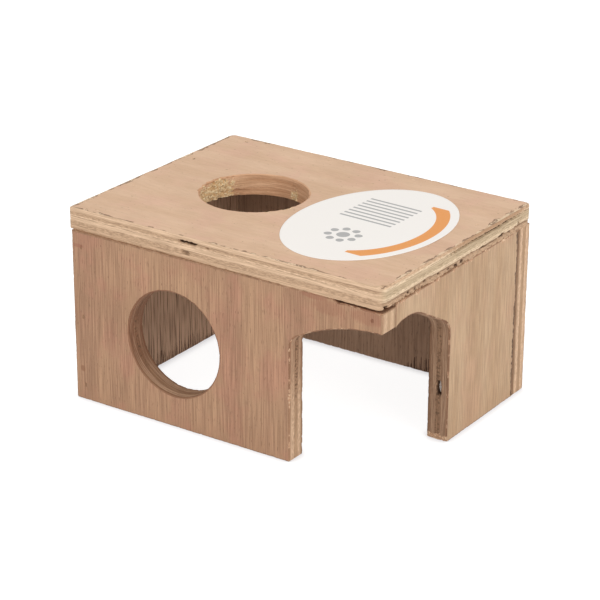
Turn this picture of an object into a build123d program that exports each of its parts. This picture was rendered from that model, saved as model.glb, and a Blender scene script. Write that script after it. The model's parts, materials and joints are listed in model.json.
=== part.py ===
from build123d import *
import math
import os

# Hamster house: an open-bottomed box of plywood panels, glued and pinned together with brads.
# One round hole goes through the front wall, one through the roof, and a doorway wraps round
# one corner. Millimetres, +Z up. X runs along the front, Y from the front to the back.
# The origin is on the ground, at the middle of the house.

# Box of walls. The front and the back run the full length, and the two ends sit between them.
house_length = 160.0
house_depth = 121.0
wall_height = 80.0
wall_thickness = 10.0
wall_edge_round = 0.6

# Roof, laid over the walls: proud at the ends and set in a little at the front and the back
roof_thickness = 10.0
roof_end_overhang = 1.0
roof_side_inset = 0.5
roof_corner_radius = 3.0
roof_edge_round = 0.6

# Round hole in the front wall, placed from the closed end and from the ground
front_hole_diameter = 48.5
front_hole_from_end = 54.5
front_hole_height = 39.0

# Round hole in the roof, placed from the closed end and from the front
roof_hole_diameter = 48.5
roof_hole_from_end = 54.0
roof_hole_from_front = 61.5
roof_hole_chamfer = 0.5

# Doorway in the front wall, from the open corner and the ground: a jamb, a rounded corner,
# a haunch that slopes up over its run, and a shallow crown
front_door_width = 45.0
front_door_corner_radius = 7.0
front_door_haunch_run = 8.3
front_door_haunch_angle = 26.6
front_door_crown_radius = 82.0
front_door_crown_height = 69.6

# Doorway in the end wall, which meets the other at the open corner
side_door_width = 54.0
side_door_corner_radius = 8.0
side_door_haunch_run = 22.2
side_door_haunch_angle = 28.5
side_door_crown_radius = 25.7
side_door_crown_height = 71.0

# Sanded rims of the doorway and of the front hole
wall_opening_chamfer = 0.5

# Brads: square-cut wire with a tee head and a chisel point, the head set below the face of the wood
brad_width = 1.25
brad_depth = 1.05
brad_length = 18.0
brad_point_length = 1.6
brad_head_width = 2.0
brad_head_thickness = 0.7
brad_set = 0.4
brad_clearance = 0.05

# Rows of brads: how many, and how far a row stops from the ends of its joint
long_side_brad_count = 4
long_side_brad_margin = 11.0
short_side_brad_count = 2
short_side_brad_margin = 38.0
upright_brad_count = 3
upright_brad_margin = 7.0

# Oval paper label on the roof, placed from the closed end and from the front
label_width = 67.0
label_length = 93.0
label_thickness = 0.15
label_from_end = 117.0
label_from_front = 58.0
label_turn = -2.5

# How far a cut runs past what it cuts, and how near its outline an edge counts as part of it
cut_past = 1.0
outline_margin = 0.01

# The faces of the box of walls
left_x = -house_length / 2
right_x = house_length / 2
front_y = -house_depth / 2
back_y = house_depth / 2
roof_top = wall_height + roof_thickness

# The front and the right-hand end are drawn flat, x along the wall from the open corner and y up.
open_corner = (right_x, front_y, 0)
front_wall = Plane(origin=open_corner, x_dir=(-1, 0, 0), z_dir=(0, 1, 0))
side_wall = Plane(origin=open_corner, x_dir=(0, 1, 0), z_dir=(1, 0, 0))


def doorway(width, corner_radius, haunch_run, haunch_angle, crown_radius, crown_height, panel_end):
    """Outline of the doorway in one wall, drawn from the open corner to its jamb.

    The crown is an arc, level at its top. The haunch leaves it on the tangent and slopes down to
    the rounded corner above the jamb. The panel itself starts at panel_end.
    """
    slope = math.radians(haunch_angle)
    haunch_top_x = width - haunch_run
    crown_centre = Vector(haunch_top_x - crown_radius * math.sin(slope), crown_height - crown_radius)
    haunch_top = Vector(haunch_top_x, crown_centre.Y + crown_radius * math.cos(slope))
    haunch_foot = Vector(width, haunch_top.Y - haunch_run * math.tan(slope))
    cut_end = panel_end - cut_past
    start_angle = 90 - haunch_angle
    end_angle = math.degrees(math.acos((cut_end - crown_centre.X) / crown_radius))
    with BuildSketch() as opening:
        with BuildLine():
            FilletPolyline((width, -cut_past), haunch_foot, haunch_top, radius=corner_radius)
            crown = CenterArc(crown_centre, crown_radius, start_angle, end_angle - start_angle)
            Polyline(crown @ 1, (cut_end, -cut_past), (width, -cut_past))
        make_face()
    return opening.sketch


def wire_brad(top, clearance=0.0):
    """A brad driven down through a face at z = 0, or with a clearance the hole that it leaves."""
    head_x = brad_head_width / 2 + clearance
    shank_x = brad_width / 2 + clearance
    head_seat = -brad_set - brad_head_thickness
    tip = -brad_set - brad_length
    right_side = [
        (head_x, top),
        (head_x, head_seat),
        (shank_x, head_seat),
        (shank_x, tip + brad_point_length),
    ]
    left_side = [(-x, z) for x, z in reversed(right_side)]
    outline = make_face(Polyline(*right_side, (0, tip - clearance), *left_side, close=True))
    return extrude(Plane.XZ * outline, brad_depth / 2 + clearance, both=True)


brad = wire_brad(top=-brad_set)
brad_hole = wire_brad(top=cut_past, clearance=brad_clearance)


def row(low, high, margin, count):
    """Evenly spaced places between two ends, short of each by the margin. One alone is central."""
    if count == 1:
        return [(low + high) / 2]
    pitch = (high - low - 2 * margin) / (count - 1)
    return [low + margin + pitch * step for step in range(count)]


# Every brad goes into the middle of the edge behind the face that it is driven through.
left_mid_x = left_x + wall_thickness / 2
right_mid_x = right_x - wall_thickness / 2
front_mid_y = front_y + wall_thickness / 2
back_mid_y = back_y - wall_thickness / 2
long_row = row(left_x, right_x, long_side_brad_margin, long_side_brad_count)
short_row = row(front_y, back_y, short_side_brad_margin, short_side_brad_count)
upright_row = row(0, wall_height, upright_brad_margin, upright_brad_count)
lintel_mid_z = (front_door_crown_height + wall_height) / 2


def driven(points, wide_along, out_of):
    """Places for the brads of one joint, their heads wide along it, driven in from outside."""
    return [Plane(point, x_dir=wide_along, z_dir=out_of) for point in points]


x_dir, y_dir, z_dir = (1, 0, 0), (0, 1, 0), (0, 0, 1)
forwards = (0, -1, 0)
brads = {
    "roof_to_front": driven([(x, front_mid_y, roof_top) for x in long_row], x_dir, z_dir),
    "roof_to_back": driven([(x, back_mid_y, roof_top) for x in long_row], x_dir, z_dir),
    "roof_to_left_end": driven([(left_mid_x, y, roof_top) for y in short_row], y_dir, z_dir),
    "roof_to_right_end": driven([(right_mid_x, y, roof_top) for y in short_row], y_dir, z_dir),
    "front_to_left_end": driven([(left_mid_x, front_y, z) for z in upright_row], z_dir, forwards),
    "front_to_right_end": driven([(right_mid_x, front_y, lintel_mid_z)], z_dir, forwards),
    "back_to_left_end": driven([(left_mid_x, back_y, z) for z in upright_row], z_dir, y_dir),
    "back_to_right_end": driven([(right_mid_x, back_y, z) for z in upright_row], z_dir, y_dir),
}


def bored(panel, panel_name):
    """The panel with a hole for each brad of its joints."""
    holes = [
        place * brad_hole
        for joint, places in brads.items()
        if panel_name in joint.split("_to_")
        for place in places
    ]
    return panel - holes


def rims(panel, through):
    """The edges round a panel's openings, in both of the faces that the openings go through."""
    box = panel.bounding_box()
    edges_by_depth = panel.edges().group_by(through)
    edges = edges_by_depth[0] + edges_by_depth[-1]
    for axis, low, high in zip((Axis.X, Axis.Y, Axis.Z), box.min, box.max):
        if axis != through:
            edges = edges.filter_by_position(axis, low + outline_margin, high - outline_margin)
    return edges


def box_corners(panel):
    """The upright edges of a panel that are outer corners of the box of walls."""
    return panel.edges().filter_by(Axis.Z).filter_by(
        lambda edge: math.isclose(abs(edge.center().X), right_x)
        and math.isclose(abs(edge.center().Y), back_y)
    )


def make_roof():
    """The roof, with its round hole over the closed end."""
    length = house_length + 2 * roof_end_overhang
    depth = house_depth - 2 * roof_side_inset
    hole_x = left_x + roof_hole_from_end
    hole_y = front_y + roof_hole_from_front
    board = extrude(Pos(Z=wall_height) * RectangleRounded(length, depth, roof_corner_radius), roof_thickness)
    board = fillet(board.faces().filter_by(Axis.Z).edges(), roof_edge_round)
    board -= Pos(hole_x, hole_y, wall_height) * extrude(Circle(roof_hole_diameter / 2), roof_thickness)
    hole_rims = board.edges().filter_by(
        lambda edge: edge.geom_type == GeomType.CIRCLE and edge.radius > roof_corner_radius
    )
    board = chamfer(hole_rims, roof_hole_chamfer)
    return bored(board, "roof")


def make_front():
    """The front wall, with its round hole near the closed end and a doorway at the open one."""
    outline = Pos(house_length / 2, wall_height / 2) * Rectangle(house_length, wall_height)
    hole = Pos(house_length - front_hole_from_end, front_hole_height) * Circle(front_hole_diameter / 2)
    door = doorway(
        front_door_width,
        front_door_corner_radius,
        front_door_haunch_run,
        front_door_haunch_angle,
        front_door_crown_radius,
        front_door_crown_height,
        panel_end=0,
    )
    board = extrude(front_wall * (outline - hole - door), wall_thickness)
    board = chamfer(rims(board, Axis.Y), wall_opening_chamfer)
    board = fillet(box_corners(board), wall_edge_round)
    return bored(board, "front")


def make_back():
    """The plain back wall."""
    board = Pos(0, back_mid_y, wall_height / 2) * Box(house_length, wall_thickness, wall_height)
    board = fillet(box_corners(board), wall_edge_round)
    return bored(board, "back")


def make_left_end():
    """The plain wall at the closed end, between the front and the back."""
    between = house_depth - 2 * wall_thickness
    board = Pos(left_mid_x, 0, wall_height / 2) * Box(wall_thickness, between, wall_height)
    return bored(board, "left_end")


def make_right_end():
    """The wall at the open corner, between the front and the back, with its doorway."""
    between = house_depth - 2 * wall_thickness
    outline = Pos(house_depth / 2, wall_height / 2) * Rectangle(between, wall_height)
    door = doorway(
        side_door_width,
        side_door_corner_radius,
        side_door_haunch_run,
        side_door_haunch_angle,
        side_door_crown_radius,
        side_door_crown_height,
        panel_end=wall_thickness,
    )
    board = extrude(side_wall * (outline - door), -wall_thickness)
    board = chamfer(rims(board, Axis.X), wall_opening_chamfer)
    return bored(board, "right_end")


def make_label():
    """The oval paper label, stuck to the roof a little out of square."""
    centre = Pos(left_x + label_from_end, front_y + label_from_front, roof_top)
    return extrude(centre * Rot(Z=label_turn) * Ellipse(label_width / 2, label_length / 2), label_thickness)


def make_brads(places):
    """The brads of one joint, each a piece of its own."""
    return Compound(children=[place * brad for place in places])


nodes = {
    "roof_panel": make_roof(),
    "front_panel": make_front(),
    "back_panel": make_back(),
    "left_end_panel": make_left_end(),
    "right_end_panel": make_right_end(),
    "roof_label": make_label(),
}
for joint, places in brads.items():
    nodes[joint + "_brads"] = make_brads(places)

os.makedirs("parts", exist_ok=True)
for name, shape in nodes.items():
    export_step(shape, f"parts/{name}.step")
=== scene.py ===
import functools
import json
import math
from dataclasses import dataclass
from types import SimpleNamespace

import bpy
import numpy as np
from mathutils import Matrix, Vector
from mathutils.geometry import delaunay_2d_cdt


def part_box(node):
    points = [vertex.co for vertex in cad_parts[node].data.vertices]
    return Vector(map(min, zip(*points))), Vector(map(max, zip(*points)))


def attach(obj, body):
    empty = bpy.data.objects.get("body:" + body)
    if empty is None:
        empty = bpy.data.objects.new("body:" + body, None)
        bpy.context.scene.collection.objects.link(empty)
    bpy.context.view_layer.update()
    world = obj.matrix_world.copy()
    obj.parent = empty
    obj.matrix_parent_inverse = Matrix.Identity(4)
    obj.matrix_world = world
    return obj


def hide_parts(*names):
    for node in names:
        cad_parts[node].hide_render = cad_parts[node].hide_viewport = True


# Hamster house of plywood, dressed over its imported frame: boards with their plies, chips, voids and
# torn veneer in the mesh, a printed paper label on the roof, and a pale floor under soft light.
# Everything is worked out in millimetres and turned into metres when a mesh is made.

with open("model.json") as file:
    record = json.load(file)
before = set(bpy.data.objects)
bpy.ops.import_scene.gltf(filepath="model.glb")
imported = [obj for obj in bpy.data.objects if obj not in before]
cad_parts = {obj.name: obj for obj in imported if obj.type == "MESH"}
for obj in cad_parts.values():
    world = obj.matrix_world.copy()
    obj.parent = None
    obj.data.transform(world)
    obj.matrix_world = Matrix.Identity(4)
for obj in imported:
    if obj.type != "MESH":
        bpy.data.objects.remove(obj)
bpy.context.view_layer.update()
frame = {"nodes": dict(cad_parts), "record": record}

MM = 0.001
UP = np.array([0.0, 0.0, 1.0])


def node_box(node):
    """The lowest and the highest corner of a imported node, in millimetres."""
    low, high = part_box(node)
    return np.array(low) / MM, np.array(high) / MM


def bore(name):
    """The centre and the radius of a hole that the record gives as a mount, in millimetres."""
    mount = next(m for m in frame["record"]["mounts"] if m["name"] == name)
    return np.array(mount["pos_m"]) / MM, mount["dims"]["r_mm"]


# ---- Driving sizes ---------------------------------------------------------------------------

# Doorway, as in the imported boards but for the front's crown, which is a little rounder: distances from
# the open corner and from the ground
front_door = {"width": 45.0, "corner_radius": 7.0, "haunch_run": 8.3, "haunch_angle": 26.6,
              "crown_radius": 79.0, "crown_height": 69.6}
side_door = {"width": 54.0, "corner_radius": 8.0, "haunch_run": 22.2, "haunch_angle": 28.5,
             "crown_radius": 25.7, "crown_height": 71.0}

roof_corner_radii = (0.9, 3.0, 3.0, 3.0)
wall_corner_radius = 0.7
snug_corner_radius = 0.15
arris_radius = 0.5
ply_count = 5

# The roof was nailed on a little askew. The lintel's top is split away under it at the open corner, as
# (distance from the corner, drop, radius).
roof_turn = -0.010
roof_shift = -0.4
lintel_split = ((0.0, 1.3, 0.15), (18.0, 0.8, 2.0), (21.5, 1.4, 1.0), (24.0, 0.0, 0.5))

# Label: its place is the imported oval's. Its paper lifts a little at the rim, and elsewhere it lies a
# hair above the board and waves with it.
label_turn = math.radians(-2.5)
label_lift = 0.12
label_bed = 0.03
label_wave = 0.03
label_spokes, label_rings = 240, 48

# How finely the boards are drawn: along their edges, through their thickness, over their faces and
# round the brads, and how near an outline a loose point of a face may lie
column_pitch = 0.5
row_pitch = 0.3
face_pitch = 3.2
face_scatter = 0.8
brad_pitch = 0.2
clear_of_outline = 0.35
face_band = (4.6, 4.1, 3.65, 3.25, 2.9, 2.55, 2.25, 1.95, 1.7, 1.45, 1.2, 0.95, 0.72)
inner_band = (1.0, 1.6, 2.4, 3.4)
arris_steps = 4

# Rows keep within this share of the room that an outline's points have before they meet
room_share = 0.93

# The cutter's rings on a bored or milled edge, how far fibres stand proud of a cut, how thick the inner
# ply is where it is torn away whole, over how much of a face an uneven edge fades out, and over how
# much of it the face rolls over towards a worn arris
ring_pitch = 0.9
proud_fibres = 0.25
inner_ply = 2.7
fade_reach = 3.0
roll_reach = 2.2

# How far outside the wear a point counts as lying where a face isn't worn at all, and what the
# material reads in the middle of a face, as in edge_strip
unworn = -9.0
plain_face = {"cut": (0.0, 0.0, 0.0), "wear": (face_band[0], 0.0, 0.0), "harm": (0.0, 0.0, unworn)}

# A place on an outline is looked for no further off than this
place_reach = 2.0


# ---- Noise -------------------------------------------------------------------------------------

LATTICE = 512


@functools.lru_cache(maxsize=None)
def lattice(seed):
    return np.random.default_rng(seed).uniform(-1, 1, (LATTICE, LATTICE))


def noise(x, y, seed, octaves=1, period=None):
    """Smooth noise from about -1 to 1 with features one unit across. It repeats in x over a period."""
    x, y = np.broadcast_arrays(np.asarray(x, float), np.asarray(y, float))
    total = np.zeros(x.shape)
    for octave in range(octaves):
        scale = 2 ** octave
        values = lattice(seed + 101 * octave)
        wrap = LATTICE if period is None else period * scale
        column, line = np.floor(x * scale).astype(int), np.floor(y * scale).astype(int)
        fx, fy = x * scale - column, y * scale - line
        fx, fy = fx * fx * (3 - 2 * fx), fy * fy * (3 - 2 * fy)
        left, right = column % wrap % LATTICE, (column + 1) % wrap % LATTICE
        below, above = line % LATTICE, (line + 1) % LATTICE
        low = values[left, below] * (1 - fx) + values[right, below] * fx
        high = values[left, above] * (1 - fx) + values[right, above] * fx
        total += (low * (1 - fy) + high * fy) / scale
    return total


def smooth(low, high, value):
    """0 below low, 1 above high, and an even slope with soft ends between them."""
    share = np.clip((value - low) / (high - low), 0, 1)
    return share * share * (3 - 2 * share)


# ---- Finishes ----------------------------------------------------------------------------------

@dataclass
class Finish:
    """How a cut edge is left."""

    fibre: float = 0.4  # how much its fibres stand up
    arris: float = 0.5  # how its arrises are worn
    # The next field is how dark the cutter burned a cut, and on a split it is the painted shade in the gap
    # under the roof
    burnish: float = 0.0  # how dark the cutter burned it
    rings: float = 0.0  # how deep the cutter's rings are
    gape: float = 0.0  # how wide a joint gapes at the outer face
    ease: float = 1.0  # how far its arrises are eased


sawn = Finish(fibre=0.7, arris=0.4)
milled = Finish(arris=0.65, burnish=0.6, rings=0.03)
bored = Finish(burnish=1.0, rings=0.06)
scorched = Finish(arris=0.6, burnish=0.75, rings=0.05)
drilled = Finish(fibre=0.5, arris=0.3, burnish=0.6, rings=0.04)
glued = Finish(fibre=0.0, arris=0.1, ease=0.3)
jointed = Finish(fibre=0.0, arris=0.1, gape=0.8, ease=0.5)
flush = Finish(arris=0.25, ease=0.4)
butted = Finish(fibre=0.3, arris=0.55, ease=0.4)
# A split takes the full burn tone though no cutter made it: painted shade in the gap under the roof
split = Finish(arris=0.6, burnish=1.0, ease=0.3)


# ---- Outlines ----------------------------------------------------------------------------------

def turned(angle):
    """The matrix that turns a flat drawing by an angle."""
    return np.array([[math.cos(angle), -math.sin(angle)], [math.sin(angle), math.cos(angle)]])


def left_of(direction):
    return np.stack([-direction[..., 1], direction[..., 0]], -1)


class Edge:
    """One closed outline of a board: points along it, the way into the wood and the finish at each."""

    def __init__(self, points, inward, steps, finishes):
        self.points, self.inward, self.finishes = np.array(points), np.array(inward), finishes
        reached = np.cumsum(steps)
        self.along = np.concatenate([[0], reached[:-1]])
        self.length = reached[-1]
        self.end_share = self.inward[:, :1] ** 2

    def quality(self, name):
        """One quality of the finish at each point, as a column."""
        return np.array([getattr(finish, name) for finish in self.finishes])[:, None]

    def near(self, places):
        """Those of some places that lie on the outline, each (u, v, more) given as (away, more).

        Away is how far each point lies from the place, along the outline, as a column.
        """
        for u, v, *more in places:
            gap = np.linalg.norm(self.points - (u, v), axis=1)
            nearest = int(gap.argmin())
            if gap[nearest] <= place_reach:
                away = abs(self.along - self.along[nearest])
                yield np.minimum(away, self.length - away)[:, None], *more

    def room(self):
        """How far each point can move into the wood before it meets another's way, as a column."""
        gap = self.points[None, :, :] - self.points[:, None, :]
        square = np.sum(gap ** 2, axis=2)
        towards = np.sum(gap * self.inward[:, None, :], axis=2)
        with np.errstate(divide="ignore", invalid="ignore"):
            reach = np.where(towards > 1e-6, square / (2 * towards), 1e6)
        return reach.min(axis=1)[:, None]


def trace(corners):
    """The edge along a closed outline of lines and rounded corners.

    Each corner is (u, v, radius, finish), and its finish holds for the run that leaves it. The wood
    lies to the left of the runs.
    """
    places = np.array([corner[:2] for corner in corners], float)
    ahead = np.roll(places, -1, axis=0) - places
    length = np.linalg.norm(ahead, axis=1)
    run = ahead / length[:, None]
    reach = np.roll(run, 1, axis=0)
    turn = np.arctan2(reach[:, 0] * run[:, 1] - reach[:, 1] * run[:, 0], np.sum(reach * run, axis=1))
    radius = np.array([corner[2] for corner in corners])
    trim = radius * np.tan(abs(turn) / 2)
    points, inward, steps, finishes = [], [], [], []
    for k, corner in enumerate(corners):
        after = (k + 1) % len(corners)
        bend = np.sign(turn[k]) * radius[k]
        centre = places[k] - reach[k] * trim[k] + bend * left_of(reach[k])
        count = max(3, math.ceil(radius[k] * abs(turn[k]) / column_pitch))
        for angle in turn[k] * np.arange(count) / count:
            side = turned(angle) @ left_of(reach[k])
            points.append(centre - bend * side)
            inward.append(side)
        steps += [radius[k] * abs(turn[k]) / count] * count
        straight = length[k] - trim[k] - trim[after]
        if straight > 1e-6:
            line = math.ceil(straight / column_pitch)
            shares = (trim[k] + straight * np.arange(line) / line)[:, None]
            points += list(places[k] + run[k] * shares)
            inward += [left_of(run[k])] * line
            steps += [straight / line] * line
            count += line
        finishes += [corner[3]] * count
    return Edge(points, inward, steps, finishes)


def rectangle(width, height, radii, finishes):
    """Outline of a whole board, its runs in the order bottom, right, top, left."""
    places = ((0, 0), (width, 0), (width, height), (0, height))
    return [(u, v, radius, finish) for (u, v), radius, finish in zip(places, radii, finishes)]


def circle(u, v, radius, finish):
    """A round hole as an outline, the wood outside it."""
    corners = ((-1, -1), (-1, 1), (1, 1), (1, -1))
    return [(u + radius * i, v + radius * j, radius, finish) for i, j in corners]


def door_points(width, corner_radius, haunch_run, haunch_angle, crown_radius, crown_height, end):
    """Jamb foot, haunch foot, crown and crown end of a doorway, as (distance, height, radius).

    The crown is one rounded corner. Its apex is where the haunch, drawn on, meets the crown's own
    tangent at its end, which falls again if the crown runs past its top.
    """
    slope = math.radians(haunch_angle)
    top = width - haunch_run
    centre = top - crown_radius * math.sin(slope)
    top_height = crown_height - crown_radius * (1 - math.cos(slope))
    haunch_height = top_height - haunch_run * math.tan(slope)
    fall = math.asin(max(0.0, (centre - end) / crown_radius))
    end_height = crown_height - crown_radius * (1 - math.cos(fall))
    end_distance = max(end, centre - crown_radius * math.sin(fall))
    apex = ((end_height - top_height - end_distance * math.tan(fall) - top * math.tan(slope))
            / (-math.tan(fall) - math.tan(slope)))
    apex_height = top_height + (top - apex) * math.tan(slope)
    edge_height = apex_height - (apex - end) * math.tan(fall)
    return [(width, 0.0, wall_corner_radius), (width, haunch_height, corner_radius),
            (apex, apex_height, crown_radius), (end, edge_height, wall_corner_radius)]


# ---- Boards ------------------------------------------------------------------------------------

class Board:
    """One plywood board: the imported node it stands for, its own axes, outlines and damage.

    voids lie in the core plies, as (u, v, depth, half length, half height, how deep), and torn places
    are (u, v, half length, how rough, how far below the outer face they start).
    """

    def __init__(self, name, node, across, outward, seed, turn=0.0, shift=0.0, upright=True):
        self.name, self.node, self.seed, self.upright = name, node, seed, upright
        across, self.outward = np.array(across, float), np.array(outward, float)
        upward = np.cross(self.outward, across)
        low, high = node_box(node)
        size, middle = high - low, (low + high) / 2
        self.width = abs(size @ across)
        self.height = abs(size @ upward)
        self.thickness = abs(size @ self.outward)
        self.across = math.cos(turn) * across + math.sin(turn) * upward
        self.upward = math.cos(turn) * upward - math.sin(turn) * across
        self.origin = (middle + shift * across - self.across * self.width / 2
                       - self.upward * self.height / 2 + self.outward * self.thickness / 2)
        self.outlines, self.voids, self.torn, self.brads = [], [], [], []
        self.wear_depth, self.wear_reach = 0.08, 0.3
        self.underside_ease, self.underside_tear, self.end_tear = 1.0, 0.0, 0.0
        self.sanded_corners, self.burn_and_shade_heights = [], None

    def flat(self, point):
        """A point of the house on the board's own drawing."""
        offset = np.asarray(point, float) - self.origin
        return offset @ self.across, offset @ self.upward

    def place(self, u, v, depth):
        """Points of the board's drawing, that far behind its outer face, in the house."""
        return (self.origin + u[:, None] * self.across + v[:, None] * self.upward
                - depth[:, None] * self.outward)


def profile(thickness):
    """Rows across a board's edge: how far in and how deep each lies, and which are on what side."""
    quarter = np.linspace(0, math.pi / 2, arris_steps + 1)
    fall, rise = arris_radius * (1 - np.sin(quarter)), arris_radius * (1 - np.cos(quarter))
    count = math.ceil((thickness - 2 * arris_radius) / row_pitch)
    straight = np.linspace(arris_radius, thickness - arris_radius, count + 1)[1:-1]
    inset = np.concatenate([face_band, fall, 0 * straight, rise, inner_band])
    depth = np.concatenate([np.zeros(len(face_band)), rise, straight, thickness - fall,
                            np.full(len(inner_band), thickness)])
    number = np.arange(len(inset))
    outer, inner = number < len(face_band), number >= len(inset) - len(inner_band)
    return SimpleNamespace(inset=inset, depth=depth, outer=outer, inner=inner, edge=~outer & ~inner)


def erosion(board, edge, depth):
    """How far each point of an edge lies inside the clean cut: plies, fibres, chips, voids, tears."""
    thickness = board.thickness
    s, d = edge.along[:, None], depth[None, :]

    def wavy(feature, across, offset, octaves=1):
        """Noise with features of that length along the edge and that height across it."""
        period = max(2, round(edge.length / feature))
        return noise(s * period / edge.length, d / across, board.seed + offset, octaves, period)

    fibre, arris = edge.quality("fibre"), edge.quality("arris")
    # Plies stand a little in front of or behind each other, and their fibres differ with the cut.
    steps = 0.05 * wavy(45, 1.7, 3) + 0.05 * wavy(9, 1.3, 5)
    streaks = 0.10 * wavy(7, 0.42, 11, 2)
    speckle = 0.08 * wavy(1.1, 0.6, 17, 2)
    alternate = smooth(-0.2, 0.2, np.sin(d / thickness * ply_count * math.pi) + 0.3 * wavy(30, 2, 19))
    with_face = 1 - edge.end_share if board.upright else edge.end_share
    end_grain = with_face * alternate + (1 - with_face) * (1 - alternate)
    eroded = fibre * (steps + streaks * (1 - 0.6 * end_grain) + speckle * (0.35 + end_grain))
    eroded += fibre * 0.45 * smooth(0.5, 0.9, wavy(1.6, 0.8, 23)) * smooth(0.1, 0.5, wavy(20, 3, 29))
    # Both arrises are chipped, the inner one more than the outer.
    inner_side = thickness - d
    outer_reach = 1 - smooth(0.2, 0.8, d + 0.4 * wavy(2, 1, 37))
    inner_reach = 1 - smooth(0.2, 0.9, inner_side + 0.4 * wavy(2, 1, 43))
    outer_chip = smooth(0.3, 0.9, wavy(1.6, 50, 31, 3)) * outer_reach
    inner_chip = smooth(0.1, 0.8, wavy(1.6, 50, 41, 3)) * inner_reach
    eroded += arris * (0.25 * outer_chip + 0.4 * inner_chip) - 0.04
    # The inner veneer is torn back a little along a board that lies on others, and its whole ply is
    # at the right-hand end.
    tear = smooth(-0.45, 0.35, wavy(2.6, 50, 44, 4))
    tear_reach = 1 - smooth(0.2, 0.6, inner_side + 0.3 * wavy(2.4, 1.2, 46, 3))
    eroded += board.underside_tear * tear * tear_reach
    ply_reach = inner_ply - 0.8 * wavy(5, 2, 45, 3) - 0.3 * wavy(1.4, 2, 48, 2)
    ply_end = 1 - smooth(0.0, 0.5, inner_side - ply_reach)
    right_hand = smooth(0.5, 0.9, -edge.inward[:, :1])
    eroded += board.end_tear * right_hand * ply_end * (0.8 + 0.4 * wavy(1.8, 1.2, 50, 3))
    # The cutter's rings, and joints that gape at the outer face
    eroded += edge.quality("rings") * np.sin(d * 2 * math.pi / ring_pitch + 1.5 * wavy(60, 9, 47))
    gape = edge.quality("gape") * (0.55 + 0.7 * smooth(-0.4, 0.5, wavy(2.2, 50, 49, 3)))
    eroded += gape * (1 - smooth(0.5, 1.6, d + 0.5 * wavy(2, 1, 51)))
    for away, at, half_length, half_height, deep in edge.near(board.voids):
        box = ((away / half_length) ** 4 + ((d - at) / half_height) ** 4) ** 0.25
        eroded += deep * (1 - smooth(0.8, 1.15, box + 0.2 * wavy(1.2, 0.5, 53, 2)))
    for away, half_length, rough, _ in edge.near(board.torn):
        inside = 1 - smooth(0.55, 1.0, away / half_length + 0.25 * wavy(3, 3, 59))
        tufted = 0.3 + noise(s / 1.1, d / 0.9, board.seed + 61, 2) + 0.4 * wavy(4, 3, 67)
        eroded += inside * rough * tufted
    return np.maximum(eroded, -proud_fibres)


def fraying(board, edge, rows):
    """Where the wood is frayed to fibres, from 0 to 1: at the torn places, and in flecks on an arris."""
    s, across = edge.along[:, None], (rows.inset + rows.depth)[None, :]
    ragged = noise(s / 1.7, across / 1.3, board.seed + 91, 3)
    patches = noise(s / 6, 0, board.seed + 95, 2)
    flecks = smooth(0.0, 0.5, noise(s / 1.7, across / 0.5, board.seed + 93, 3) + 0.6 * patches)
    near_arris = 1 - smooth(0.45, 0.9, across + 0.3 * ragged)
    frayed = 0.6 * smooth(0.3, 0.8, edge.quality("arris")) * flecks * near_arris
    for away, half_length, _, below in edge.near(board.torn):
        inside = 1 - smooth(0.6, 1.0, away / half_length + 0.35 * ragged)
        inside = inside * (1 - smooth(1.0, 2.6, rows.inset + 1.4 * ragged))
        inside = inside * smooth(below - 0.7, below + 0.7, rows.depth + 1.6 * ragged + 0.01)
        frayed = np.maximum(frayed, inside)
    return frayed


def gaping(board, edge, rows):
    """Where a joint stands open at the outer face, from 0 to 1."""
    uneven = 0.7 * noise(edge.along / 1.8, 0, board.seed + 97, 3)[:, None]
    return (edge.quality("gape") > 0) * (1 - smooth(0.6, 1.2, rows.inset + rows.depth + uneven))


def burned(board, edge):
    """How dark the cutter burned an edge, with painted light and shade on it. Where a board has heights
    for them, a cut is paler towards the ground and darker higher up: painted light low down, painted shade
    above.

    They are the heights that a cut darkens between and its share of the full burn below them, first of
    the doorway, then of the cuts that are burned most.
    """
    burnish = edge.quality("burnish")
    if board.burn_and_shade_heights:
        height = edge.points[:, 1:]
        doorway, darkest = (least + (1 - least) * smooth(low, high, height)
                            for low, high, least in board.burn_and_shade_heights)
        burnish = burnish * np.where(burnish > 0.9, darkest, doorway)
    return burnish


def worn_face(board, edge, rows):
    """How far the outer face is worn down beside an edge, and how far inside the wear a point lies.

    The wear goes down in two ragged steps that run along the edge, as veneer does when it is sanded
    through, and rolls over softly at the arris. It reaches further in where the edge is end grain.
    """
    period = max(2, round(edge.length / 3.4))
    s, t = (edge.along * period / edge.length)[:, None], rows.inset[None, :]
    ragged = noise(s, t / 1.5, board.seed + 71, 3, period)
    broad = noise(s / 5, 0 * t, board.seed + 73, 2)
    reach = 0.9 * ragged + 0.6 * broad + board.wear_reach * (0.5 + 0.7 * edge.end_share) - t
    steps = 0.5 * smooth(0, 0.25, reach) + 0.5 * smooth(0, 0.25, reach - 1.0)
    roll = 0.64 * np.clip(1 - t / roll_reach, 0, 1) ** 2
    arris = edge.quality("arris")
    sink = arris * board.wear_depth * (steps + roll)
    sink = sink * np.where(rows.outer, 1.0, np.clip(1 - rows.depth / fade_reach, 0, 1))
    bared = (board.wear_depth > 0.15) & (arris > 0.35) & ~rows.inner
    return np.where(rows.inner, 0, sink), np.where(bared, reach, unworn)


def face_damage(board, u, v):
    """How far the outer face is sunk at the brad marks, the deeper the more open they are."""
    sunk = np.zeros(np.shape(u))
    for brad_u, brad_v, wide_u, wide_v, openness in board.brads:
        box = np.maximum(abs(u - brad_u) / wide_u, abs(v - brad_v) / wide_v)
        sunk += (0.16 + 0.34 * openness) * (1 - smooth(0.55, 1.15, box))
    return sunk


def corner_sanding(board, u, v):
    """How far the outer face falls away towards its sanded-down corners."""
    lost = np.zeros(np.shape(u))
    for corner_u, corner_v, reach, drop in board.sanded_corners:
        lost += drop * (1 - smooth(0.1, 1.0, np.hypot(u - corner_u, v - corner_v) / reach)) ** 2
    return lost


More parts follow.
